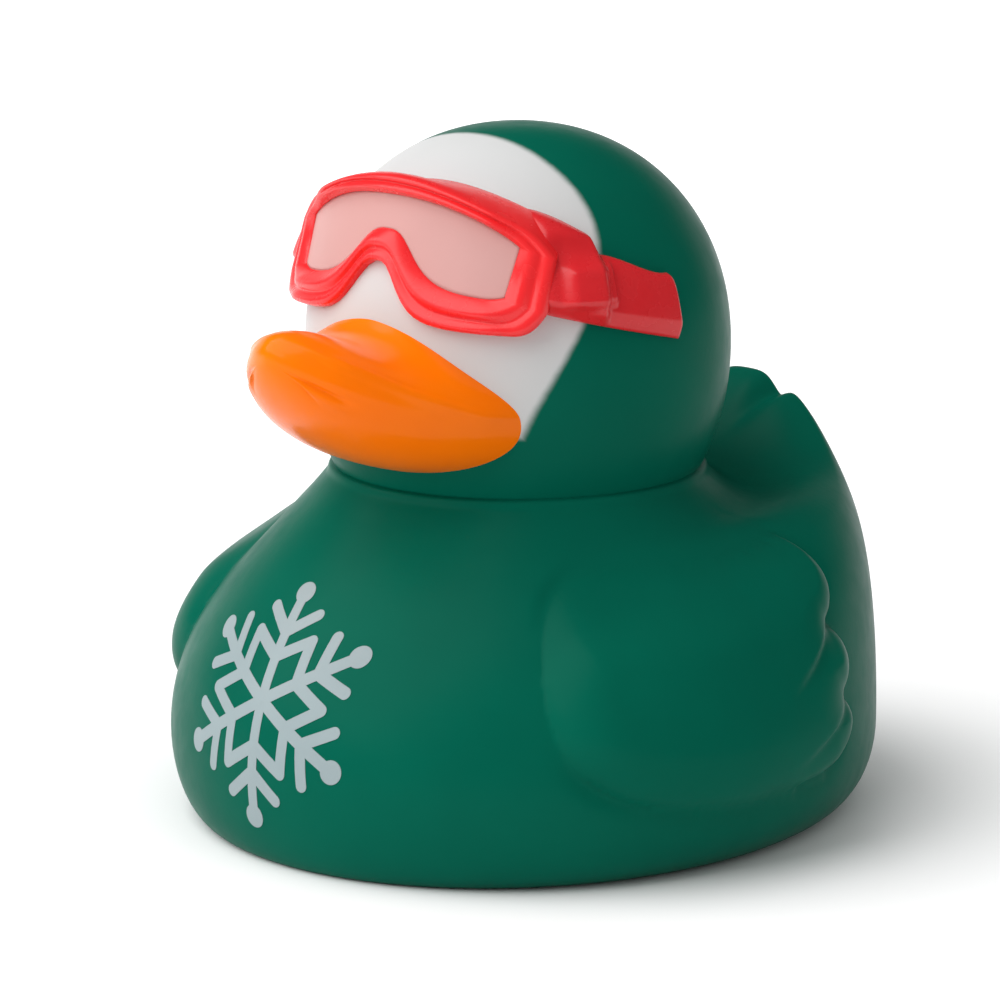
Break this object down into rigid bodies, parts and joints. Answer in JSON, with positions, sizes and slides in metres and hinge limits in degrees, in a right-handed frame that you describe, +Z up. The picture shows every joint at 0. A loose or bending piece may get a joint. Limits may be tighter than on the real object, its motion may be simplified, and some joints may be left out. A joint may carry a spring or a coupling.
{
  "type": "rubber duck",
  "caption": "Hollow moulded bath duck on a flat base, with relief wings, an upswept tail, a broad bill and ski goggles moulded round its head; it stands on a shelf or floats.",
  "frame": {"origin": "middle of the bounding box in plan, on the ground that the flat base stands on", "axes": "+Z up; the duck faces -Y and its left wing is on +X"},
  "size_m": [0.075, 0.0738, 0.0695],
  "materials": {
    "green_vinyl": "satin",
    "white_paint": "satin",
    "orange_paint": "semi-gloss",
    "red_paint": "semi-gloss",
    "lens_paint": "satin",
    "snow_print": "satin"
  },
  "bodies": {
    "root": {"duck_shell": "green_vinyl"}
  },
  "joints": []
}
